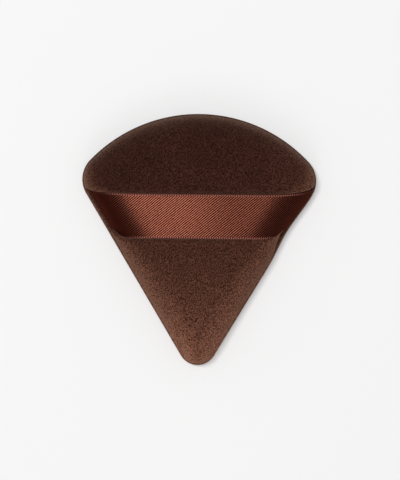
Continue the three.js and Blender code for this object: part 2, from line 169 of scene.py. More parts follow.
class PuffCut(bpy.types.PropertyGroup):
    """How the velour panels are cut and filled."""

    side_angle: angle_property("Side angle", "Each straight side from the centre line", 30.9)
    tip_radius: length_property("Tip radius", "Rounding of the tip", 6.5 * MM)
    corner_radius: length_property("Corner radius", "Rounding between a side and the arc", 9.4 * MM)
    arc_radius: length_property("Arc radius", "Radius of the arched top", 50.9 * MM)
    velour: length_property("Velour", "Thickness of the velour, with its pile", WADDING_LOW.z - CLEARANCE)
    face_shoulder: length_property("Face shoulder", "Width of the rounding round the powder face", 6.5 * MM)
    back_shoulder: length_property("Back shoulder", "Width of the rounding round the back", 9.3 * MM)
    back_setback: length_property("Back setback", "The back's edge inside the face's edge", 0.7 * MM)
    allowance: length_property("Allowance", "The outline to the cut edge of the seam allowance", 5.6 * MM)
    finger_room: length_property("Finger room", "Clear height under the ribbon", 4.6 * MM)


class RibbonCut(bpy.types.PropertyGroup):
    """The satin ribbon and how it is laid."""

    width: length_property("Width", "Width of the ribbon", 15 * MM)
    thickness: length_property("Thickness", "Thickness of the ribbon", 0.28 * MM)
    from_tip: length_property("From tip", "The puff's tip to the ribbon's centre line", 50.1 * MM)
    end_inset: pair_property(
        "End insets", "The outline to where the ribbon goes into the seam, left and right",
        (1.75 * MM, 0.7 * MM),
    )
    steepest: angle_property("Steepest", "Tilt of the ribbon where it goes into the seam", 74)
    tail_inset: length_property("Tail inset", "The outline to the ribbon's cut end inside the seam", 5.0 * MM)
    bow: length_property("Bow", "Rise of the ribbon's middle above its shoulders", 0.9 * MM)
    loop_pitch: length_property("Loop pitch", "Spacing of the weft loops along both selvedges", 0.78 * MM)
    loop_reach: length_property("Loop reach", "How far the weft loops stand out of the selvedges", 0.16 * MM)
    twill_pitch: length_property("Twill pitch", "Spacing of the diagonal lines of the weave", 0.64 * MM)
    twill_angle: angle_property("Twill angle", "Slant of the diagonal lines from the ribbon's length", 39.4)


class PuffColours(bpy.types.PropertyGroup):
    """Colours of the puff's materials."""

    # The velour's colour goes from the dark colour to the pale one by its grain, and by painted light: paler
    # towards the tip, below the ribbon, on the right and on the rolled edges
    velour_deep: colour_property(
        "Velour, pile standing", "Velour where the pile stands up", (0.01, 0.0006, 0.0006),
    )
    velour_lit_and_grain: colour_property(
        "Velour, pile brushed", "Velour where the pile is brushed towards the tip", (0.36, 0.148, 0.09),
    )
    # The weave's lines are real, but the raised yarns' pale colour is painted highlight and the ground's
    # near-black is painted shade
    satin: colour_property("Satin", "Raised yarns of the ribbon's weave", (0.208, 0.0705, 0.0425))
    satin_shaded_ground: colour_property("Satin ground", "Lines between the raised yarns", (0.02, 0.0004, 0.0001))
    # painted shade for the satin where it tilts down over the shoulders
    satin_painted_shade: colour_property("Satin deep", "Satin down over the shoulders", (0.052, 0.0075, 0.0042))
    selvedge: colour_property("Selvedge", "Weft loops along the ribbon's edges", (0.45, 0.155, 0.115))
    thread: colour_property("Thread", "Sewing thread", (0.045, 0.018, 0.013))
    foam: colour_property("Foam", "Foam core", (0.8, 0.72, 0.56))
    wadding: colour_property("Wadding", "Wadding over the powder face", (0.86, 0.84, 0.8))


class Studio(bpy.types.PropertyGroup):
    """Camera, lamps and floor."""

    lens: amount_property("Lens", "Focal length in millimetres", 110, "CAMERA")
    picture_height: length_property("Picture height", "Height of the picture at the puff's edge", 162.5 * MM)
    aim: pair_property("Aim", "Point on the floor in the middle of the picture", (0.48 * MM, -0.17 * MM))
    roll: angle_property("Roll", "Turn of the camera about its line of sight", 0.61)
    floor: colour_property("Floor", "Colour of the floor and the backdrop", (0.94, 0.94, 0.94))
    overhead_power: amount_property("Overhead power", "Power of the softbox overhead in watts", 7.5, "POWER")
    key_power: amount_property("Key power", "Power of the softbox at the upper left in watts", 5.9, "POWER")
    fill_power: amount_property("Fill power", "Power of the softbox on the tip's side in watts", 0.9, "POWER")
    sky: amount_property("Sky", "Strength of the even light all round", 0.29)


def lerp(a, b, t):
    return a + (b - a) * t


def ramp(t):
    """Eases from 0 to 1."""
    t = np.clip(t, 0, 1)
    return t * t * (3 - 2 * t)


def eased(t):
    """Goes from 0 to 1 as half a wave does."""
    return (1 - np.cos(math.pi * t)) / 2


def rounded(t):
    """Rises from 0 to 1 as a quarter of an ellipse does."""
    return np.sqrt(1 - (1 - np.clip(t, 0, 1)) ** 2)


def at_side(side, ends):
    """What holds on a side, from what holds on the left and on the right."""
    return np.where(np.asarray(side) < 0, *ends)


def lengths(vectors):
    return np.sqrt((vectors ** 2).sum(-1))


def polar(centre, radius, turn):
    return centre + radius[..., None] * np.stack((np.cos(turn), np.sin(turn)), -1)


class Plan:
    """The puff seen from above, and the ribbon laid over its shoulders."""

    def __init__(self, cut, ribbon):
        self.cut = cut
        self.ribbon = ribbon
        # Directions out of the right side and up along it, and the centres of the tip and the arc
        self.out = np.array((math.cos(cut.side_angle), -math.sin(cut.side_angle)))
        self.up = np.array((math.sin(cut.side_angle), math.cos(cut.side_angle)))
        self.tip = np.array((0, TIP_Y + cut.tip_radius))
        self.arc = np.array((0, ARC_Y - cut.arc_radius))
        self.ribbon_y = TIP_Y + ribbon.from_tip
        self.ribbon_z = RIBBON_TOP_Z - CAD_RIBBON / 2 - BOW_SUNK * ribbon.bow
        self.groove_z = RIBBON_TOP_Z - CAD_RIBBON - cut.finger_room
        self.edge_z = BACK_FLANGE_Z + cut.velour
        self.drape()
        self.bend_inset = np.array(ribbon.end_inset) + self.run[-1]
        at_edge = self.bend_inset - np.interp(self.ribbon_z - self.edge_z, self.fall, self.run)
        self.pinched_setback = at_edge + CAD_RIBBON / 2 + CLEARANCE
        self.pull_along = self.edge_along(-PULL_BELOW)
        self.corner, turn = (value[0] for value in self.corner_at(np.zeros(1)))
        self.side_length = (self.corner - self.tip) @ self.up
        self.corner_length = (turn + cut.side_angle) * cut.corner_radius

    def drape(self):
        """The ribbon's way over a shoulder, on which its tilt grows as the square of the way."""
        steepest = self.ribbon.steepest
        drop = self.ribbon_z - TAIL_Z - TURN_IN * (1 + math.cos(steepest))
        t = np.linspace(0, 1, BEND_STEPS + 1)
        tilt = steepest * t ** 2
        run, fall = (np.concatenate(([0], np.cumsum(f(tilt)[1:] + f(tilt)[:-1]))) for f in (np.cos, np.sin))
        step = drop / fall[-1]
        self.way = t * BEND_STEPS * 2 * step
        self.run = run * step
        self.fall = fall * step
        self.turn_way = TURN_IN * (math.pi - steepest)

    def pull(self, along, inset, side):
        """How far the ribbon draws the puff in on the right, less and less towards the middle."""
        near = 1 - np.abs(along - self.pull_along) / PULL_REACH
        return PULL * ramp(near) * ramp(1 - inset / PULL_DEPTH) * (side > 0)

    def place(self, along, inset, side=1):
        """A point by its distance along a side from the tip and its inset from that side."""
        across = self.cut.tip_radius - inset - self.pull(along, inset, side)
        return self.tip + across[..., None] * self.out + along[..., None] * self.up

    def corner_at(self, inset):
        """Centre of the corner's rounding and the turn where it meets the arc, drawn an inset inside."""
        radius = np.maximum(self.cut.corner_radius - inset, LEAST_RADIUS)
        foot = self.place(np.zeros_like(inset), inset + radius) - self.arc
        reach = foot @ self.up
        arc_reach = self.cut.arc_radius - inset - radius
        run = np.sqrt(reach ** 2 - (foot ** 2).sum(-1) + arc_reach ** 2) - reach
        centre = self.place(run, inset + radius)
        from_arc = centre - self.arc
        return centre, np.arctan2(from_arc[..., 1], from_arc[..., 0])

    def edge(self, inset, station, side=1):
        """Points of the outline drawn an inset inside."""
        inset, station, side = np.broadcast_arrays(inset, station, side)
        angle = self.cut.side_angle
        tip_radius = np.maximum(self.cut.tip_radius - inset, LEAST_RADIUS)
        corner_radius = np.maximum(self.cut.corner_radius - inset, LEAST_RADIUS)
        rise = (inset + tip_radius - self.cut.tip_radius) / math.sin(angle)
        tip = self.tip + np.stack((np.zeros_like(rise), rise), -1)
        corner, turn = self.corner_at(inset)
        stretch = np.minimum(np.floor(station), ARC_START)
        t = station - stretch
        side_start = tip + tip_radius[..., None] * self.out
        side_end = corner + corner_radius[..., None] * self.out
        points = np.choose(stretch.astype(int)[..., None], (
            polar(tip, tip_radius, lerp(-math.pi / 2, -angle, t)),
            lerp(side_start, side_end, t[..., None]),
            polar(corner, corner_radius, lerp(-angle, turn, t)),
            polar(self.arc, self.cut.arc_radius - inset, lerp(turn, math.pi / 2, t)),
        ))
        pull = self.pull((station - SIDE_START) * self.side_length, inset, side)
        return (points - pull[..., None] * self.out) * np.stack((side, np.ones_like(rise)), -1)

    def station(self, along):
        """Station of a point that lies a distance along a side, or past its end round the corner."""
        on_side = SIDE_START + along / self.side_length
        past = CORNER_START + (along - self.side_length) / self.corner_length
        return np.where(along < self.side_length, on_side, past)

    def depth(self, points):
        """Distance of points inside the outline."""
        cut = self.cut
        side = np.sign(points[..., 0])
        points = np.stack((np.abs(points[..., 0]), points[..., 1]), -1)
        from_tip = points - self.tip
        from_corner = points - self.corner
        x, y = self.corner - self.arc
        past_side = from_corner @ self.up > 0
        below_arc = x * from_corner[..., 1] < y * from_corner[..., 0]
        beside = np.minimum(cut.tip_radius - from_tip @ self.out, cut.arc_radius - lengths(points - self.arc))
        depth = np.where(past_side & below_arc, cut.corner_radius - lengths(from_corner), beside)
        depth = np.where(from_tip @ self.up < 0, cut.tip_radius - lengths(from_tip), depth)
        return depth - self.pull(from_tip @ self.up, depth, side)

    def bends_at(self, side):
        """Inset at which the ribbon starts to bend over the shoulder on a side."""
        return at_side(side, self.bend_inset)

    def laid(self, x, across, side):
        """Where a point of the flat ribbon comes to lie: its distance along the side and its inset."""
        flat = np.stack((np.abs(x), self.ribbon_y + across), -1) - self.tip
        inset = self.cut.tip_radius - flat @ self.out
        past = self.bends_at(side) - inset
        bent = self.bends_at(side) - np.interp(past, self.way, self.run)
        return flat @ self.up, np.where(past > 0, bent, inset)

    def flat_reach(self, across, inset):
        """How far from the middle a line of the flat ribbon meets a line drawn inside the side."""
        rise = math.sin(self.cut.side_angle) * (self.ribbon_y + across - self.tip[1])
        return (self.cut.tip_radius - inset + rise) / math.cos(self.cut.side_angle)

    def edge_along(self, across):
        """How far along a side a line of the flat ribbon meets the outline."""
        meets = np.stack((self.flat_reach(across, 0.0), self.ribbon_y + across), -1)
        return (meets - self.tip) @ self.up

    def laid_reach(self, across, inset, side):
        """How far from the middle a line of the flat ribbon reaches the inset once it is laid."""
        past = self.bends_at(side) - inset
        flat_inset = np.maximum(inset, self.bends_at(side)) - np.interp(past, self.run, self.way)
        return self.flat_reach(across, flat_inset)


def column_places():
    """Places of the columns across the puff, from -1 at the left edge to 1 at the right."""
    even = np.linspace(-1, 1, COLUMNS + 1)
    return lerp(even, np.sin(math.pi / 2 * even), EDGE_CROWDING)


COLUMN = column_places()
SPAN = np.abs(COLUMN)
SIDE = np.where(COLUMN < 0, -1.0, 1.0)
ENDS = (0, -1)  # the left and right columns
BOTH = np.array((-1, 1))  # and their sides


def crest_line(ends, bend, span, side):
    """A lip's crest from the ribbon's centre line, given where it ends on the left and on the right."""
    start, power = bend
    bent = np.clip((span - start) / (1 - start), 0, 1) ** power
    return lerp(LIP_CREST, at_side(side, ends), bent)


def by_side(ends):
    """Values or points for all the columns from those of the left and right ends."""
    left = (SIDE < 0).reshape(-1, *[1] * (ends.ndim - 2))
    return np.where(left, ends[:, :1], ends[:, 1:])


class Layer:
    """A grid of points over the puff with its rows along the groove, a drop below the back's outer skin."""

    def __init__(self, plan, drop=0.0, inset=None):
        self.plan = plan
        self.drop = drop
        self.fixed_inset = inset
        self.span = SPAN
        if inset:  # such a layer ends short of where the ribbon goes into the seam
            ends = np.array(plan.ribbon.end_inset)
            share = plan.laid_reach(0.0, inset, BOTH) / plan.laid_reach(0.0, ends, BOTH)
            self.span = SPAN * at_side(SIDE, share)
        self.groove()
        self.rest()
        self.heights()

    def inset(self, setback):
        """Inset of the layer's edge where the back's edge has a setback."""
        return np.full_like(setback, self.fixed_inset) if self.fixed_inset else setback + self.drop

    def lip(self, ends, bend):
        """Rows of one lip from the foot of its wall to its crest, and the share of the height of each."""
        t = np.linspace(0, 1, WALL_ROWS, endpoint=False)
        turn = np.linspace(0, math.pi / 2, ROLL_ROWS + 1)
        steepens = ramp((self.span - WALL_STEEPENS_FROM) / (1 - WALL_STEEPENS_FROM))
        slope = lerp(WALL_SLOPE, WALL_SLOPE_END, steepens)
        wall = LIP_ROLL + slope * (1 - t[:, None]) ** 2
        roll = LIP_ROLL * np.cos(turn)[:, None] + np.zeros_like(SPAN)
        across = crest_line(ends, bend, self.span, SIDE) + self.drop - np.concatenate((wall, roll))
        share = np.concatenate((ROLL_FROM * t ** FOOT_CURVE, lerp(ROLL_FROM, 1, np.sin(turn))))
        return across, share

    def groove(self):
        """Rows from the crest of the lower lip over the groove's floor to the crest of the upper lip."""
        plan = self.plan
        lower, share = self.lip(LOWER_CREST_END, LOWER_BEND)
        upper, _ = self.lip(UPPER_CREST_END, UPPER_BEND)
        t = np.linspace(0, 1, FLOOR_ROWS + 1)[1:-1, None]
        across = np.concatenate((-lower[::-1], lerp(-lower[:1], upper[:1], t), upper))
        self.share = np.concatenate((share[::-1], np.zeros(len(t)), share))
        rolled = ramp((self.share - PINCHED_UP_TO) / (1 - PINCHED_UP_TO))[:, None]
        ends = across[:, ENDS]
        mouth = self.inset(np.broadcast_to(plan.ribbon.end_inset, ends.shape))
        self.stations = plan.station(plan.laid(plan.laid_reach(ends, mouth, BOTH), ends, BOTH)[0])
        self.crease = self.stations[0] - CREASE_BELOW / plan.side_length
        self.setback = lerp(plan.pinched_setback, self.edge_setback(self.stations), rolled)
        inset = self.inset(self.setback)
        laid_inset = np.maximum(inset, mouth)
        reach = plan.laid_reach(across, by_side(laid_inset), SIDE)
        points = plan.place(*plan.laid(SPAN * reach, across, SIDE), SIDE)
        points = points * np.stack((SIDE, np.ones_like(SIDE)), -1)
        miss = by_side(plan.edge(inset, self.stations, BOTH) - points[:, ENDS])
        self.points = points + miss * (SPAN ** EDGE_PULL)[:, None]

    def edge_setback(self, stations):
        """The back's edge inside the face's edge at stations on both sides, more where the seam gapes."""
        near = 1 - np.abs(stations - self.crease) * self.plan.side_length / CREASE_REACH
        return self.plan.cut.back_setback + CREASE * ramp(near)

    def between(self, low, low_stations, high, high_stations, t):
        """Rows between two given rows, with their ends on the edge."""
        stations = lerp(low_stations, high_stations, t[:, None])
        inset = self.inset(self.edge_setback(stations))
        points = lerp(low, high, t[:, None, None])
        miss = self.plan.edge(inset, stations, BOTH) - points[:, ENDS]
        share = np.abs(np.stack((np.minimum(COLUMN, 0), np.maximum(COLUMN, 0))))
        moved = np.stack((
            miss[..., 0] @ share,
            lerp(miss[:, :1, 1], miss[:, 1:, 1], (COLUMN + 1) / 2),
        ), -1)
        return points + moved, stations

    def rest(self):
        """Adds the rows from the tip up to the lower lip, and from the upper lip up to the arc."""
        plan = self.plan
        inset = self.inset(np.array([plan.cut.back_setback]))
        tip_stations = SIDE_START * SPAN
        corners = (self.stations[-1] + ARC_START) / 2
        arc_stations = lerp(ARC_TOP, at_side(SIDE, corners), SPAN)
        tip = plan.edge(inset, tip_stations, SIDE)
        arc = plan.edge(inset, arc_stations, SIDE)
        tip_ends = np.full(2, float(SIDE_START))
        t = np.linspace(0, 1, TIP_ROWS + 1)[1:-1] ** TIP_CROWDING
        lower, lower_stations = self.between(tip, tip_ends, self.points[0], self.stations[0], t)
        t = 1 - (1 - np.linspace(0, 1, ARC_ROWS + 1)[1:-1]) ** ARC_CROWDING
        upper, upper_stations = self.between(self.points[-1], self.stations[-1], arc, corners, t)
        self.first = 1 + len(lower)  # the lower lip's crest
        self.last = self.first + len(self.points) - 1  # the upper lip's crest
        self.points = np.concatenate((tip[None], lower, self.points, upper, arc[None]))
        ends = np.concatenate((lower_stations, self.stations, upper_stations))
        self.stations = np.concatenate((tip_stations[None], by_side(ends), arc_stations[None]))
        self.share = np.concatenate((np.ones(self.first), self.share, np.ones(1 + len(upper))))
        plain = np.full((1, 2), plan.cut.back_setback)
        below, above = self.edge_setback(lower_stations), self.edge_setback(upper_stations)
        self.setback = by_side(np.concatenate((plain, below, self.setback, above, plain)))

    def heights(self):
        """Adds the heights: the groove where a row's share is 0, the crown where it is 1."""
        plan, drop = self.plan, self.drop
        depth = plan.depth(self.points) - self.setback - drop
        edge = BACK_FLANGE_Z + ALLOWANCE + CLEARANCE + plan.cut.velour - drop if drop else plan.edge_z
        crown = lerp(edge, CROWN_Z - drop, rounded(depth / (plan.cut.back_shoulder - drop)))
        groove = lerp(edge, plan.groove_z - drop, rounded(depth / plan.cut.velour))
        z = lerp(groove, crown, self.share[:, None])
        self.points = np.concatenate((self.points, z[..., None]), -1)


def rim(grid):
    """The rim of a grid as one ring, anticlockwise from above."""
    return np.concatenate((grid[0], grid[1:-1, -1], grid[-1, ::-1], grid[-2:0:-1, 0]))


class Skin:
    """Collects grids and rings of points into one closed mesh."""

    def __init__(self):
        self.points = []
        self.faces = []
        self.count = 0

    def add(self, points):
        """Adds points and returns their numbers, in the same arrangement."""
        flat = points.reshape(-1, 3)
        numbers = np.arange(self.count, self.count + len(flat)).reshape(points.shape[:-1])
        self.points.append(flat)
        self.count += len(flat)
        return numbers

    def quads(self, a, b, c, d):
        self.faces.append(np.stack((a, b, c, d), -1).reshape(-1, 4))

    def grid(self, numbers, upwards=True):
        """Fills a grid of points with faces."""
        corners = [numbers[:-1, :-1], numbers[:-1, 1:], numbers[1:, 1:], numbers[1:, :-1]]
        self.quads(*(corners if upwards else corners[::-1]))

    def rings(self, rings):
        """Joins rings that follow each other outwards and down."""
        for near, far in zip(rings, rings[1:]):
            self.quads(near, far, np.roll(far, -1), np.roll(near, -1))

    def build(self, name):
        mesh = bpy.data.meshes.new(name)
        mesh.from_pydata(np.concatenate(self.points), [], np.concatenate(self.faces).tolist())
        mesh.shade_smooth()
        mesh.set_sharp_from_angle(angle=SHARP_EDGE)
        made = bpy.data.objects.new(name, mesh)
        bpy.context.scene.collection.objects.link(made)
        return made


def closed_piece(name, top, base, upwards=True):
    """A piece between two grids, shut round their rims. Grids that are mirrored face downwards."""
    skin = Skin()
    above = skin.add(top)
    below = skin.add(base)
    wall = [rim(above), rim(below)]
    skin.grid(above, upwards)
    skin.grid(below, not upwards)
    skin.rings(wall if upwards else wall[::-1])
    return skin.build(name)


def raised(points, z):
    """Points of the plan at given heights."""
    return np.concatenate((points, np.broadcast_to(z, points.shape[:-1])[..., None]), -1)


def uneven(points, size, depth):
    """Small soft lumps: how far each point stands out."""
    flat = points.reshape(-1, 3) / size
    values = np.array([noise.noise(Vector(point)) for point in flat])
    return depth * values.reshape(points.shape[:-1])


class Wire:
    """A value in a material: sums with it add Math nodes."""

    def __init__(self, finish, socket):
        self.finish = finish
        self.socket = socket

    def sum(self, operation, *values):
        return self.finish.node("ShaderNodeMath", {"operation": operation}, dict(enumerate(values)))

    def __add__(self, other):
        return self.sum("ADD", self, other)

    def __sub__(self, other):
        return self.sum("SUBTRACT", self, other)

    def __rsub__(self, other):
        return self.sum("SUBTRACT", other, self)

    def __mul__(self, other):
        return self.sum("MULTIPLY", self, other)

    def __pow__(self, other):
        return self.sum("POWER", self, other)

    __radd__ = __add__
    __rmul__ = __mul__

    def wave(self):
        """Swings between 0 and 1 once for each unit."""
        return self.sum("SINE", self * (2 * math.pi)) * 0.5 + 0.5

    def larger(self, other):
        return self.sum("MAXIMUM", self, other)

    def size(self):
        """The value without its sign."""
        return self.sum("ABSOLUTE", self)

    def between(self, first, last):
        """The first value where this is 0, the last where it is 1, and in proportion between them."""
        return self * (last - first) + first

    def within(self, low, high):
        """0 up to low, 1 from high on, and eased between them."""
        return self.finish.node(
            "ShaderNodeMapRange", {"interpolation_type": "SMOOTHSTEP"},
            {"Value": self, "From Min": low, "From Max": high},
        )


class Finish:
    """A node material, or the world, under construction."""

    def __init__(self, owner):
        owner.use_nodes = True
        self.tree = owner.node_tree
        self.tree.nodes.clear()

    def node(self, kind, settings=None, sockets=None, output=0):
        """Adds any node: its settings first, then the values or links of its sockets."""
        made = self.tree.nodes.new(kind)
        for key, value in (settings or {}).items():
            setattr(made, key, value)
        for key, value in (sockets or {}).items():
            if isinstance(value, Wire):
                self.tree.links.new(value.socket, made.inputs[key])
            else:
                made.inputs[key].default_value = value
        return Wire(self, made.outputs[output]) if made.outputs else None

    def places(self):
        return self.node("ShaderNodeTexCoord", output="Object")

    def split(self, vector):
        parts = self.node("ShaderNodeSeparateXYZ", sockets={"Vector": vector})
        return [Wire(self, socket) for socket in parts.socket.node.outputs]

    def blend(self, first, second, share):
        """Mixes two colours."""
        return self.node("ShaderNodeMix", {"data_type": "RGBA"}, {0: share, 6: first, 7: second}, 2)

    def shaded(self, colour, darkest, light):
        """A colour that is down to a share of itself where the light is 0."""
        return self.blend(opaque([part * darkest for part in colour]), opaque(colour), light)

    def stretched(self, places, scale, turn=0.0):
        """Places for noise that is longer where the scale is below 1, turned about the vertical first."""
        sockets = {"Vector": places, "Rotation": (0.0, 0.0, turn), "Scale": scale}
        return self.node("ShaderNodeMapping", sockets=sockets)

    def speckle(self, places, size, detail=2.0, roughness=0.6):
        """Soft noise with lumps of about a size, from 0 to 1."""
        sockets = {"Vector": places, "Scale": 1 / size, "Detail": detail, "Roughness": roughness}
        return self.node("ShaderNodeTexNoise", sockets=sockets)

    def cells(self, places, size):
        """Distance to the middle of cells of about a size."""
        return self.node("ShaderNodeTexVoronoi", sockets={"Vector": places, "Scale": 1 / size})

    def bump(self, height, distance, strength=1.0):
        sockets = {"Height": height, "Distance": distance, "Strength": strength}
        return self.node("ShaderNodeBump", sockets=sockets)

    def cloth(self, sockets):
        shader = self.node("ShaderNodeBsdfPrincipled", sockets=sockets)
        self.node("ShaderNodeOutputMaterial", sockets={"Surface": shader})


def opaque(colour):
    return (*colour, 1.0)


def material(name):
    made = bpy.data.materials.new(name)
    return made, Finish(made)


# Velour: its grain
PATCH_SIZE = 0.31 * MM  # of pile that leans one way
PATCH_STRETCH = (1.0, 0.6, 0.8)  # patches and fibres are longer up and down the puff
PATCH_EDGE = (0.39, 0.61)  # noise at which a patch starts, and at which it is full
FIBRE_SIZE = 0.1 * MM
FIBRE_EDGE = (0.3, 0.7)
FIBRE_SHARE = 0.2  # of the grain
TUFT_SIZE = 1.5 * MM
TUFT_SHARE = 0.4  # of the relief
PILE_RELIEF = 0.2 * MM
BRUSH_MARK = 14 * MM
LEVEL = (0.2, 0.9)  # upward part of the normal from which the grain grows stronger, and where it is strongest
GRAIN_STEEP = 0.75  # its strength on steep velour
GRAIN_LEVEL = 1.05

# Velour: its plain tone, and painted light, as shares of the pale colour
PLAIN_TONE = 0.076
UNEVEN_NAP = 0.06  # how far tufts and brush marks change it
PAINTED_LIGHT_FROM_Y = 20 * MM  # above this no light is painted, and from here to the tip painted light makes it paler and paler
PAINTED_LIGHT_AT_TIP = 0.33
PAINTED_LIGHT_POWER = 2.8
LOWER_PART = (-26 * MM, 4 * MM)  # along -Y, from above the ribbon to below it: a little painted light from there on
PAINTED_LIGHT_BELOW = 0.055
RIGHT_PART = (8 * MM, 34 * MM)  # along X, towards the right side, likewise
PAINTED_LIGHT_RIGHT = 0.04
PAINTED_SHEEN_TILT = (0.15, 0.9)  # sideward part of the normal where painted sheen starts on the rolled edges, and where it is strongest
PAINTED_SHEEN_TO_TIP = 0.6  # how much more painted sheen towards the tip
PAINTED_SHEEN_TO_RIGHT = 0.1
PAINTED_SHEEN = 0.155


def velour_finish(name, colours):
    """Short cut pile: fine grain, broad brush marks, and a soft sheen at grazing angles, with painted light
    in its colour: paler towards the tip, below the ribbon, on the right and on the rolled edges.
    """
    made, finish = material(name)
    places = finish.places()
    combed = finish.stretched(places, PATCH_STRETCH)
    patches = finish.speckle(combed, PATCH_SIZE, detail=3.0, roughness=0.7).within(*PATCH_EDGE)
    fibres = finish.speckle(combed, FIBRE_SIZE).within(*FIBRE_EDGE)
    grain = patches * (1 - FIBRE_SHARE) + fibres * FIBRE_SHARE
    tufts = finish.speckle(places, TUFT_SIZE)
    marks = finish.speckle(places, BRUSH_MARK)

    # Painted light: paler towards the tip, below the ribbon and towards the right
    x, y, _ = finish.split(places)
    towards_tip = (PAINTED_LIGHT_FROM_Y - y) * (1 / (PAINTED_LIGHT_FROM_Y - TIP_Y))
    painted_light = towards_tip.larger(0.0) ** PAINTED_LIGHT_POWER * PAINTED_LIGHT_AT_TIP
    painted_light = painted_light + (0 - y).within(*LOWER_PART) * PAINTED_LIGHT_BELOW + x.within(*RIGHT_PART) * PAINTED_LIGHT_RIGHT
    # Painted sheen on the rolled edges, by the object's normal: more towards the tip and on the right
    rightwards, arcwards, upwards = finish.split(finish.node("ShaderNodeTexCoord", output="Normal"))
    sidewards = rightwards.size() + rightwards * PAINTED_SHEEN_TO_RIGHT - arcwards * PAINTED_SHEEN_TO_TIP
    painted_light = painted_light + sidewards.within(*PAINTED_SHEEN_TILT) * PAINTED_SHEEN
    tone = PLAIN_TONE + painted_light + (tufts - 0.5) * UNEVEN_NAP + (marks - 0.5) * UNEVEN_NAP
    strength = upwards.within(*LEVEL).between(GRAIN_STEEP, GRAIN_LEVEL)
    share = tone * (grain.between(-1.0, 1.0) * strength + 1.0)
    relief = grain * (1 - TUFT_SHARE) + tufts * TUFT_SHARE
    finish.cloth({
        "Base Color": finish.blend(opaque(colours.velour_deep), opaque(colours.velour_lit_and_grain), share),
        "Roughness": 0.95,
        "Specular IOR Level": 0.08,
        "Sheen Weight": 0.6,
        "Sheen Roughness": 0.35,
        "Sheen Tint": (0.42, 0.26, 0.18, 1.0),
        "Normal": finish.bump(relief, PILE_RELIEF, 0.8),
    })
    return made


# Satin: its weave, whose raised yarns carry painted highlight and painted glints in their colour, and whose
# ground lines carry painted shade
WANDER_SIZE = 3.5 * MM  # over which the diagonal lines wander
WANDER = 0.5  # how far, as a share of their pitch
GLINT_SIZE = 0.7 * MM
GLINT_EDGE = (0.3, 0.7)
GLINT_RANGE = (0.75, 1.25)  # how much a glint dims or brightens a yarn
YARN_POWER = 3.5  # the higher, the narrower the raised yarns
YARN_EDGE = (0.2, 0.95)
YARN_RELIEF = 0.02 * MM
SELVEDGE_EDGE = (0.4 * MM, 0.7 * MM)  # from the ribbon's edge, where the selvedge goes over into the weave
LOOP_POWER = 1.5

# Satin: painted shade over the shoulders, where it tilts down into the seam
PAINTED_SHADE_BY_SIDE = (1.0, 0.6)  # how much painted shade the ribbon's tilt gives, left and right
PAINTED_SHADE_TILT = (0.1, 0.5)  # where the painted shade starts and where it is darkest, as shares of the steepest tilt
DARKEST_PAINTED_SHADE = 0.85


def satin_finish(ribbon, colours):
    """Woven satin: glossy diagonal lines of raised yarns with broken glints; its colour carries painted
    highlight on the yarns, painted shade between them, and painted shade over the shoulders.
    """
    made, finish = material("satin")
    flat = finish.node("ShaderNodeAttribute", {"attribute_name": "flat"}, output="Vector")
    x, across, tilt = finish.split(flat)
    woven = finish.stretched(flat, (1.0, 1.0, 0.0))
    wander = finish.speckle(woven, WANDER_SIZE, detail=1.0) * WANDER
    slant = across * math.cos(ribbon.twill_angle) - x * math.sin(ribbon.twill_angle)
    twill = (slant * (1 / ribbon.twill_pitch) + wander).wave()
    glint = finish.speckle(woven, GLINT_SIZE).within(*GLINT_EDGE)
    selvedge = 1 - (ribbon.width / 2 - across.size()).within(*SELVEDGE_EDGE)
    loops = (x * (1 / ribbon.loop_pitch) + 0.25).wave()  # a quarter turn on, in step with those of the mesh
    yarn = (twill ** YARN_POWER * glint.between(*GLINT_RANGE)).within(*YARN_EDGE) * (1 - selvedge)
    # Painted shade where the ribbon tilts down over the shoulders, more on the left than the right; it also
    # dims the selvedge's loops there
    deep = tilt.within(*PAINTED_SHADE_TILT) * DARKEST_PAINTED_SHADE
    # The weave's colour: painted highlight on the raised yarns, broken by painted glints, and painted shade
    # in the ground between them
    colour = finish.blend(opaque(colours.satin_shaded_ground), opaque(colours.satin), yarn)
    colour = finish.blend(colour, opaque(colours.selvedge), loops ** LOOP_POWER * selvedge * (1 - deep))
    finish.cloth({
        "Base Color": finish.blend(colour, opaque(colours.satin_painted_shade), deep),
        "Metallic": selvedge.between(0.9, 0.4),
        "Roughness": yarn.between(0.75, 0.3),
        "Specular IOR Level": 0.4,
        "Specular Tint": (0.65, 0.5, 0.45, 1.0),
        "Normal": finish.bump(yarn, YARN_RELIEF, 0.6),
    })
    return made


# Thread
TWIST_PITCH = 0.5 * MM
TWIST_UP = 2.0  # how much faster the twist turns upwards than along the seam
FLUFF_SIZE = 0.2 * MM
FLUFF_TONE = 0.3  # shares of the fluff in the colour and in the relief; the twist is the rest
FLUFF_RELIEF = 0.2
PLY_SHADE = 0.55
THREAD_RELIEF = 0.06 * MM


def thread_finish(colours):
    """Twisted sewing thread."""
    made, finish = material("sewing_thread")
    places = finish.places()
    x, y, z = finish.split(places)
    twist = ((x + y + z * TWIST_UP) * (1 / TWIST_PITCH)).wave()
    fluff = finish.speckle(places, FLUFF_SIZE)
    light = twist * (1 - FLUFF_TONE) + fluff * FLUFF_TONE
    relief = twist * (1 - FLUFF_RELIEF) + fluff * FLUFF_RELIEF
    finish.cloth({
        "Base Color": finish.shaded(colours.thread, PLY_SHADE, light),
        "Roughness": 0.75,
        "Sheen Weight": 0.2,
        "Normal": finish.bump(relief, THREAD_RELIEF),
    })
    return made


# Foam
PORE_SIZE = 0.7 * MM
FINE_PORE_SIZE = 0.3 * MM
FINE_PORE_SHARE = 0.3
CLOUD_SIZE = 9 * MM  # of paler stretches
CLOUD_TONE = 0.3
PORE_SHADE = 0.6
FOAM_RELIEF = 0.2 * MM


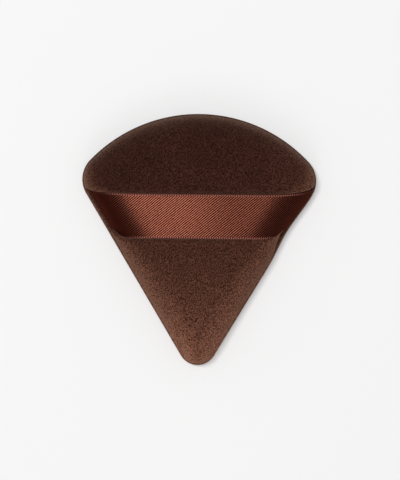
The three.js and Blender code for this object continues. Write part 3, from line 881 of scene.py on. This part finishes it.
def foam_finish(colours):
    """Open-cell foam: small dark pores between pale struts."""
    made, finish = material("open_cell_foam")
    places = finish.places()
    pores = finish.cells(places, PORE_SIZE)
    fine_pores = finish.cells(places, FINE_PORE_SIZE)
    clouds = finish.speckle(places, CLOUD_SIZE)
    struts = pores * (1 - FINE_PORE_SHARE) + fine_pores * FINE_PORE_SHARE
    finish.cloth({
        "Base Color": finish.shaded(colours.foam, PORE_SHADE, struts + clouds * CLOUD_TONE),
        "Roughness": 0.95,
        "Specular IOR Level": 0.2,
        "Normal": finish.bump(struts, FOAM_RELIEF),
    })
    return made


# Wadding
STREAK_SIZE = 0.35 * MM  # width of a streak of fibres
STREAK_STRETCH = (0.16, 1.0, 1.0)
CROSSED_STRETCH = (0.2, 1.0, 1.0)
CROSSED_TURN = 0.9  # radians
CROSSED_SHARE = 0.4
STREAK_EDGE = (0.3, 0.6)
STREAK_SHADE = 0.72
STREAK_RELIEF = 0.2 * MM


def wadding_finish(colours):
    """Carded fibre: long pale streaks that cross each other."""
    made, finish = material("carded_fibre")
    places = finish.places()
    along = finish.speckle(finish.stretched(places, STREAK_STRETCH), STREAK_SIZE, detail=4.0)
    crossed = finish.speckle(finish.stretched(places, CROSSED_STRETCH, CROSSED_TURN), STREAK_SIZE, detail=4.0)
    fibres = along * (1 - CROSSED_SHARE) + crossed * CROSSED_SHARE
    finish.cloth({
        "Base Color": finish.shaded(colours.wadding, STREAK_SHADE, fibres.within(*STREAK_EDGE)),
        "Roughness": 0.95,
        "Sheen Weight": 0.3,
        "Normal": finish.bump(fibres, STREAK_RELIEF),
    })
    return made


def dress(piece, finish, body=None):
    piece.data.materials.clear()
    piece.data.materials.append(finish)
    if body:
        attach(piece, body)


def settings(context):
    scene = context.scene
    return Plan(scene.puff_cut, scene.puff_ribbon), scene.puff_colours


# Simulation of the velour over its filling, in a copy ten times the size
SIM_SCALE = 10.0
SIM_FRAMES = 20
SIM_STRIDE = 2  # one in so many rows and columns is simulated
SIM_PRESSURE = 4.0
SIM_MASS = 0.3
SIM_GIVE = 1.0  # stiffness of the velour when it is squeezed or sheared
SIM_BENDING = 5.0
SWELL_LIMIT = 1.2 * MM  # no point moves further
LEAST_MOVE = 1e-9  # so that nothing is divided by 0


def spread(values, known, count):
    """Fills in the rows between known ones."""
    at = np.arange(count)
    near = np.clip(np.searchsorted(known, at, "right") - 1, 0, len(known) - 2)
    t = (at - known[near]) / (known[near + 1] - known[near])
    return lerp(values[near], values[near + 1], t[:, None, None])


def swell(layer):
    """Blows the back's skin up from inside by cloth simulation and returns how far each point moves."""
    rows, columns = layer.points.shape[:2]
    some_rows = np.unique(np.r_[0:rows:SIM_STRIDE, layer.first, layer.last, rows - 1])
    some_columns = np.unique(np.r_[0:columns:SIM_STRIDE, columns - 1])
    start = layer.points[np.ix_(some_rows, some_columns)] * SIM_SCALE
    skin = Skin()
    numbers = skin.add(start)
    skin.grid(numbers)
    sheet = skin.build("velour_blown_up")
    held = set(rim(numbers).tolist())
    in_groove = (some_rows >= layer.first) & (some_rows <= layer.last)
    held.update(numbers[in_groove].ravel().tolist())
    sheet.vertex_groups.new(name="held").add(sorted(held), 1.0, "REPLACE")
    cloth = sheet.modifiers.new("swell", "CLOTH")
    cloth.settings.vertex_group_mass = "held"
    cloth.settings.use_pressure = True
    cloth.settings.uniform_pressure_force = SIM_PRESSURE
    cloth.settings.mass = SIM_MASS
    cloth.settings.compression_stiffness = SIM_GIVE
    cloth.settings.shear_stiffness = SIM_GIVE
    cloth.settings.bending_stiffness = SIM_BENDING
    cloth.settings.effector_weights.gravity = 0
    scene = bpy.context.scene
    for step in range(1, SIM_FRAMES + 1):
        scene.frame_set(step)
    blown = sheet.evaluated_get(bpy.context.evaluated_depsgraph_get()).data
    end = np.zeros(len(blown.vertices) * 3, np.float32)
    blown.vertices.foreach_get("co", end)
    moved = (end.reshape(start.shape) - start) / SIM_SCALE
    bpy.data.objects.remove(sheet)
    scene.frame_set(1)
    distance = np.maximum(lengths(moved), LEAST_MOVE)[..., None]
    moved = moved * np.tanh(distance / SWELL_LIMIT) * SWELL_LIMIT / distance
    moved = spread(moved, some_rows, rows)
    return spread(moved.swapaxes(0, 1), some_columns, columns).swapaxes(0, 1)


# Lumps of the velour: their size and how far they stand out
BACK_LUMPS = ((11 * MM, 0.12 * MM), (2.6 * MM, 0.035 * MM))
LUMPS_FROM_EDGE = 4 * MM  # how far from the back's edge they are full
FACE_LUMPS = (9 * MM, 0.1 * MM)
LUMPS_FROM_TABLE = 1.5 * MM  # how far above the table, and below its edge, those of the face are full


class PUFF_OT_back_panel(bpy.types.Operator):
    """Make the velour panel of the back: crowned over the filling, with the groove and lips for the ribbon"""

    bl_idname = "puff.back_panel"
    bl_label = "Back panel"

    def execute(self, context):
        plan, colours = settings(context)
        cut = plan.cut
        outer = Layer(plan)
        inner = Layer(plan, cut.velour)
        moved = swell(outer)
        lumps = sum(uneven(outer.points, *lump) for lump in BACK_LUMPS)
        depth = plan.depth(outer.points[..., :2]) - cut.back_setback
        moved[..., 2] += lumps * outer.share[:, None] * ramp(depth / LUMPS_FROM_EDGE)
        stations, setback = rim(outer.stations), rim(outer.setback)
        sides = rim(np.broadcast_to(SIDE, outer.stations.shape))
        most = at_side(sides, plan.pinched_setback) - cut.back_setback
        lip_z = lerp(BACK_LOW.z, BACK_FLANGE_Z, (setback - cut.back_setback) / most)
        skin = Skin()

        def ring(inset, z):
            return skin.add(raised(plan.edge(inset, stations, sides), z))

        outside = skin.add(outer.points + moved)
        inside = skin.add(inner.points + moved)
        skin.grid(outside)
        skin.rings([
            rim(outside),
            *(
                ring(setback + EDGE_ROLL * (1 - math.cos(t)), lerp(plan.edge_z, lip_z, math.sin(t)))
                for t in EDGE_TURNS
            ),
            ring(setback + EDGE_ROLL + CLEARANCE, BACK_FLANGE_Z),
            ring(cut.allowance, BACK_FLANGE_Z),
            ring(cut.allowance, BACK_FLANGE_Z + ALLOWANCE),
            ring(setback + cut.velour + CLEARANCE, BACK_FLANGE_Z + ALLOWANCE),
            rim(inside),
        ])
        skin.grid(inside, upwards=False)
        panel = skin.build("velour_back")
        dress(panel, velour_finish("velour_of_the_back", colours), "puff")
        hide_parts("back_velour")
        return {"FINISHED"}


def bowl(plan, drop):
    """The face's skin a drop above its underside, with the stations and sides of its rim."""
    t = np.linspace(0, 1, FACE_ROWS + 1)
    t = lerp(t, eased(t), EDGE_CROWDING)[:, None]
    corner = (CORNER_START + ARC_START) / 2
    tip_stations = SIDE_START * SPAN
    arc_stations = lerp(ARC_TOP, corner, SPAN)
    tip = plan.edge(drop, tip_stations, SIDE)
    arc = plan.edge(drop, arc_stations, SIDE)
    side_stations = lerp(SIDE_START, corner, t)
    points = lerp(tip, arc, t[..., None])
    miss = by_side(plan.edge(drop, side_stations, BOTH) - points[:, ENDS])
    share = np.stack((SPAN, np.ones_like(SPAN)), -1)
    points = points + miss * share * np.where((t == 0) | (t == 1), 0.0, 1.0)[..., None]
    shoulder = plan.cut.face_shoulder
    z = lerp(FACE_EDGE_Z, drop, rounded((plan.depth(points) - drop) / (shoulder - drop)))
    stations = np.broadcast_to(side_stations, (len(t), COLUMNS + 1)).copy()
    stations[0], stations[-1] = tip_stations, arc_stations
    sides = np.broadcast_to(SIDE, stations.shape)
    return raised(points, z), rim(stations), rim(sides)


# Stretches of the face's edge that stand up outside the ribbon's ends, from the ribbon's centre line
STRIP_FROM = (-6 * MM, -18 * MM)  # on the left and on the right
STRIP_RISES = (3 * MM, 10 * MM)  # how far it takes to rise there
STRIP_TO = 8.5 * MM
STRIP_FALLS = 3 * MM
STRIP_RISE = 0.8 * MM  # how far they stand up
STRIP_GAP = 0.35 * MM  # from their top to the ribbon


def beside_ribbon(plan, stations, sides):
    """1 along the stretches that stand up, 0 along the rest of the edge, and eased between them."""
    low = plan.station(plan.edge_along(at_side(sides, STRIP_FROM)))
    high = plan.station(plan.edge_along(STRIP_TO))
    beside = ramp((stations - low) * plan.side_length / at_side(sides, STRIP_RISES))
    return beside * ramp((high - stations) * plan.side_length / STRIP_FALLS)


class PUFF_OT_face_panel(bpy.types.Operator):
    """Make the velour panel of the powder face: flat below and rounded up to the seam"""

    bl_idname = "puff.face_panel"
    bl_label = "Face panel"

    def execute(self, context):
        plan, colours = settings(context)
        cut = plan.cut
        outside, stations, sides = bowl(plan, 0.0)
        inside, _, _ = bowl(plan, cut.velour)
        height = outside[..., 2]
        full = ramp(height / LUMPS_FROM_TABLE) * ramp((FACE_EDGE_Z - height) / LUMPS_FROM_TABLE)
        outside[..., 2] += uneven(outside, *FACE_LUMPS) * full
        skin = Skin()

        def ring(inset, z):
            return skin.add(raised(plan.edge(inset, stations, sides), z))

        below = skin.add(outside)
        above = skin.add(inside)
        beside = beside_ribbon(plan, stations, sides)
        strip = at_side(sides, plan.ribbon.end_inset) - STRIP_GAP
        roll = lerp(cut.back_setback + EDGE_ROLL - CLEARANCE, strip, beside)
        top_z = FACE_HIGH.z + STRIP_RISE * beside
        skin.grid(above)
        skin.rings([
            rim(above),
            ring(cut.velour + CLEARANCE, FACE_FLANGE_Z),
            ring(cut.allowance, FACE_FLANGE_Z),
            ring(cut.allowance, FACE_FLANGE_Z + ALLOWANCE),
            ring(roll + CLEARANCE, FACE_FLANGE_Z + ALLOWANCE),
            *(
                ring(roll * (1 - math.cos(t)), lerp(FACE_EDGE_Z, top_z, math.sin(t)))
                for t in EDGE_TURNS[::-1]
            ),
            rim(below),
        ])
        skin.grid(below, upwards=False)
        panel = skin.build("velour_face")
        dress(panel, velour_finish("velour_of_the_face", colours), "puff")
        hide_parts("face_velour")
        return {"FINISHED"}


# The ribbon's mesh
RIBBON_HALVES = (("ribbon_left", "ribbon_tail_left", -1), ("ribbon_right", "ribbon_tail_right", 1))
RIBBON_STEP = 0.11 * MM  # along its length
RIBBON_LINES = 44  # across its width
LINES_CROWDING = 0.15  # how much more its lines crowd towards the selvedges
LIP_GAP = 0.12 * MM  # between the ribbon's edge and a lip that runs straight
LIP_GAP_END = 0.2 * MM  # and between them where the lip has drawn the edge off its line
LIP_DRAWN = 1 * MM  # how far off its line the edge then is
BEAD = 0.5 * MM  # width of the thicker selvedge
BEAD_RISE = 0.09 * MM  # how much thicker it is


def cut_end(plan, side):
    """Inset at which the ribbon's cut end lies while the ribbon is flat."""
    steepest = plan.ribbon.steepest
    bend_inset = plan.bends_at(side)
    tail = plan.ribbon.tail_inset - bend_inset + plan.run[-1] - TURN_IN * math.sin(steepest)
    return bend_inset - plan.way[-1] - plan.turn_way - tail


def between_lips(plan, x, across, side):
    """Lines of the flat ribbon, drawn together or apart so that its edges follow the lips."""
    half_width = plan.ribbon.width / 2
    span = np.clip(x / plan.laid_reach(across, at_side(side, plan.ribbon.end_inset), side), 0, 1)
    edges = []
    for ends, bend in ((LOWER_CREST_END, LOWER_BEND), (UPPER_CREST_END, UPPER_BEND)):
        lip = crest_line(ends, bend, span, side) - LIP_ROLL
        drawn = np.clip(np.abs(lip - half_width) / LIP_DRAWN, 0, 1)
        edges.append(lip - lerp(LIP_GAP, LIP_GAP_END, drawn))
    lower, upper = edges
    return lerp(-lower, upper, (across + half_width) / plan.ribbon.width)


def draped(plan, x, across, side):
    """Points of the ribbon once it is laid over the shoulder and turned into the seam, and their tilt."""
    steepest = plan.ribbon.steepest
    over = plan.way[-1]
    bend_inset = plan.bends_at(side)
    flat = np.stack((x, plan.ribbon_y + across), -1) - plan.tip
    inset = plan.cut.tip_radius - flat @ plan.out
    past = np.maximum(bend_inset - inset, 0)
    over_part = np.clip(past, 0, over)
    turn_part = np.clip(past - over, 0, plan.turn_way)
    tail_part = np.maximum(past - over - plan.turn_way, 0)
    turn = steepest + turn_part / TURN_IN
    tilt = np.where(turn_part > 0, turn, steepest * (over_part / over) ** 2)
    run = np.interp(over_part, plan.way, plan.run) + TURN_IN * (np.sin(turn) - math.sin(steepest)) - tail_part
    fall = np.interp(over_part, plan.way, plan.fall) + TURN_IN * (math.cos(steepest) - np.cos(turn))
    laid_inset = np.where(past > 0, bend_inset - run, inset)
    z = plan.ribbon_z - fall + plan.ribbon.bow * np.exp(-((x / BOW_SPAN) ** 2))
    return raised(plan.place(flat @ plan.up, laid_inset, side), z), tilt


class PUFF_OT_ribbon(bpy.types.Operator):
    """Make the satin ribbon as two halves that bend from the seams up to the middle"""

    bl_idname = "puff.ribbon"
    bl_label = "Ribbon"

    def execute(self, context):
        plan, colours = settings(context)
        finish = satin_finish(plan.ribbon, colours)
        for name, tail, side in RIBBON_HALVES:
            half, length = self.half(plan, name, side)
            dress(half, finish)
            out = plan.out * (side, 1)
            end_inset = at_side(side, plan.ribbon.end_inset)
            mouth = plan.tip * (side, 1) + (plan.cut.tip_radius - end_inset) * out
            inward = mouth - out * plan.flat_reach(-plan.ribbon.width / 2, end_inset) * plan.out[0]
            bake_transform(half)
            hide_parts("ribbon_strap", tail)
        return {"FINISHED"}

    @staticmethod
    def half(plan, name, side):
        """One half of the ribbon and its length, from the middle over the shoulder and into the seam."""
        ribbon = plan.ribbon
        half_width = ribbon.width / 2
        t = np.linspace(0, 1, RIBBON_LINES + 1)
        across = -half_width * np.cos(math.pi * lerp(t, eased(t), LINES_CROWDING))[:, None]
        end_inset = cut_end(plan, side)
        length = plan.flat_reach(0.0, end_inset)
        steps = round(length / RIBBON_STEP)
        x = plan.flat_reach(across, end_inset) * np.linspace(0, 1, steps + 1)

        loops = 0.5 + 0.5 * np.cos(2 * math.pi * x / ribbon.loop_pitch)
        near_edge = ramp((np.abs(across) - half_width + BEAD) / BEAD)
        scallops = np.sign(across) * near_edge * (1 - loops) * ribbon.loop_reach
        middle, tilt = draped(plan, x, between_lips(plan, x, across, side) - scallops, side)

        away = np.concatenate((np.sin(tilt)[..., None] * plan.out, np.cos(tilt)[..., None]), -1)
        away = away * (ribbon.thickness + near_edge * loops * BEAD_RISE)[..., None] / 2
        mirror = (side, 1, 1)
        made = closed_piece(name, (middle + away) * mirror, (middle - away) * mirror, upwards=side > 0)

        # The satin's finish needs each point's place on the flat ribbon, and how much painted shade its tilt
        # gives it
        painted_shade_share = tilt / ribbon.steepest * at_side(side, PAINTED_SHADE_BY_SIDE)
        flat = np.stack((side * x, np.broadcast_to(across, x.shape), painted_shade_share), -1)
        attribute = made.data.attributes.new("flat", "FLOAT_VECTOR", "POINT")
        attribute.data.foreach_set("vector", np.tile(flat.ravel(), 2).astype(np.float32))
        return made, float(length)


# The wadding's loft
WADDING_LUMPS = (3 * MM, 0.25 * MM)  # their size and how deep they are
WADDING_ROUNDING = 1.5 * MM  # width of the rounding along its edge
WADDING_BLUNT = 0.3 * MM  # how much of that rounding is left off at the edge


class PUFF_OT_filling(bpy.types.Operator):
    """Make the foam core and the wadding over the powder face"""

    bl_idname = "puff.filling"
    bl_label = "Filling"

    def execute(self, context):
        plan, colours = settings(context)
        foam = self.foam(plan)
        dress(foam, foam_finish(colours), "puff")
        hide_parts("foam_core")
        wadding = self.wadding(plan)
        dress(wadding, wadding_finish(colours), "puff")
        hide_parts("face_wadding")
        return {"FINISHED"}

    @staticmethod
    def foam(plan):
        """The foam core, which fills the back up to the velour."""
        top = Layer(plan, plan.cut.velour + FILLING_EASE, plan.cut.allowance + CLEARANCE).points
        return closed_piece("foam_cushion", top, raised(top[..., :2], FOAM_LOW.z))

    @staticmethod
    def wadding(plan):
        """The wadding, which lies on the powder face inside its rounding."""
        velour, shoulder = plan.cut.velour, plan.cut.face_shoulder
        thickness = WADDING_HIGH.z - WADDING_LOW.z
        level = thickness / (WADDING_HIGH.z - velour)
        inset = shoulder - (shoulder - velour) * math.sqrt(1 - level ** 2) + FILLING_EASE
        sheet, _, _ = bowl(plan, inset)
        plane = sheet[..., :2]
        edge = rounded((plan.depth(plane) - inset + WADDING_BLUNT) / WADDING_ROUNDING)
        loft = thickness / 2 * edge - np.abs(uneven(sheet, *WADDING_LUMPS))
        middle_z = WADDING_LOW.z + thickness / 2
        return closed_piece("wadding_layer", raised(plane, middle_z + loft), raised(plane, middle_z - loft))


class PUFF_OT_stitching(bpy.types.Operator):
    """Give the machine seam and the hand stitches their thread"""

    bl_idname = "puff.stitching"
    bl_label = "Stitching"

    def execute(self, context):
        _, colours = settings(context)
        finish = thread_finish(colours)
        for name in ("seam_thread", "closing_stitch"):
            dress(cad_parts[name], finish)
        return {"FINISHED"}


# Studio
WHITE = (1.0, 1.0, 1.0)
SENSOR = 36.0  # millimetres; all else is in metres
FLOOR_SIZE = 3.0
OVERHEAD_PLACE = Vector((-0.04, 0.06, 1.4))
OVERHEAD_SIZE = 0.45
KEY_PLACE = Vector((-0.36, 0.24, 1.33))
KEY_SIZE = 0.3
FILL_PLACE = Vector((-0.1, -1.0, 0.8))
FILL_SIZE = 0.5


class PUFF_OT_studio(bpy.types.Operator):
    """Make the camera, the lamps and the pale floor"""

    bl_idname = "puff.studio"
    bl_label = "Studio"

    def execute(self, context):
        studio = context.scene.puff_studio
        self.camera(context, studio)
        self.lamp("overhead_softbox", OVERHEAD_PLACE, OVERHEAD_SIZE, studio.overhead_power)
        self.lamp("key_softbox", KEY_PLACE, KEY_SIZE, studio.key_power)
        self.lamp("fill_softbox", FILL_PLACE, FILL_SIZE, studio.fill_power)
        self.sky(context, studio)
        self.floor(studio)
        context.scene.view_settings.view_transform = "Standard"
        return {"FINISHED"}

    @staticmethod
    def camera(context, studio):
        data = bpy.data.cameras.new("camera")
        data.lens = studio.lens
        data.sensor_width = SENSOR
        camera = bpy.data.objects.new("camera", data)
        distance = studio.picture_height * studio.lens / SENSOR
        camera.location = (*studio.aim, FACE_EDGE_Z + distance)
        camera.rotation_euler = (0, 0, studio.roll)
        context.scene.collection.objects.link(camera)
        context.scene.camera = camera

    @staticmethod
    def lamp(name, place, size, power):
        data = bpy.data.lights.new(name, "AREA")
        data.shape = "DISK"
        data.size = size
        data.energy = power
        lamp = bpy.data.objects.new(name, data)
        lamp.location = place
        lamp.rotation_euler = (-place).to_track_quat("-Z", "Y").to_euler()
        bpy.context.scene.collection.objects.link(lamp)

    @staticmethod
    def sky(context, studio):
        world = bpy.data.worlds.new("studio")
        context.scene.world = world
        finish = Finish(world)
        sockets = {"Color": opaque(WHITE), "Strength": studio.sky}
        light = finish.node("ShaderNodeBackground", sockets=sockets)
        finish.node("ShaderNodeOutputWorld", sockets={"Surface": light})

    @staticmethod
    def floor(studio):
        half = FLOOR_SIZE / 2
        mesh = bpy.data.meshes.new("floor")
        corners = [(-half, -half, 0), (half, -half, 0), (half, half, 0), (-half, half, 0)]
        mesh.from_pydata(corners, [], [(0, 1, 2, 3)])
        floor = bpy.data.objects.new("floor", mesh)
        bpy.context.scene.collection.objects.link(floor)
        made, finish = material("pale_floor")
        surface = finish.node("ShaderNodeBsdfDiffuse", sockets={"Color": opaque(studio.floor)})
        finish.node("ShaderNodeOutputMaterial", sockets={"Surface": surface})
        mesh.materials.append(made)


class PUFF_PT_panel(bpy.types.Panel):
    """Lists the puff's sizes, colours and pieces"""

    bl_idname = "PUFF_PT_panel"
    bl_label = "Powder puff"
    bl_space_type = "VIEW_3D"
    bl_region_type = "UI"
    bl_category = "Puff"

    def draw(self, context):
        for name in POINTERS:
            group = getattr(context.scene, name)
            for key in group.bl_rna.properties.keys():
                if key not in ("rna_type", "name"):
                    self.layout.prop(group, key)
        for operator in OPERATORS:
            self.layout.operator(operator.bl_idname)


POINTERS = {
    "puff_cut": PuffCut,
    "puff_ribbon": RibbonCut,
    "puff_colours": PuffColours,
    "puff_studio": Studio,
}
OPERATORS = (
    PUFF_OT_studio,
    PUFF_OT_back_panel,
    PUFF_OT_face_panel,
    PUFF_OT_ribbon,
    PUFF_OT_filling,
    PUFF_OT_stitching,
)


def register():
    for group in (*POINTERS.values(), *OPERATORS, PUFF_PT_panel):
        bpy.utils.register_class(group)
    for name, group in POINTERS.items():
        setattr(bpy.types.Scene, name, PointerProperty(type=group))


def unregister():
    for name in POINTERS:
        delattr(bpy.types.Scene, name)
    for group in (PUFF_PT_panel, *OPERATORS[::-1], *POINTERS.values()):
        bpy.utils.unregister_class(group)


def main():
    register()
    bpy.ops.puff.studio()
    bpy.ops.puff.back_panel()
    bpy.ops.puff.face_panel()
    bpy.ops.puff.ribbon()
    bpy.ops.puff.filling()
    bpy.ops.puff.stitching()


if __name__ == "__main__":
    main()
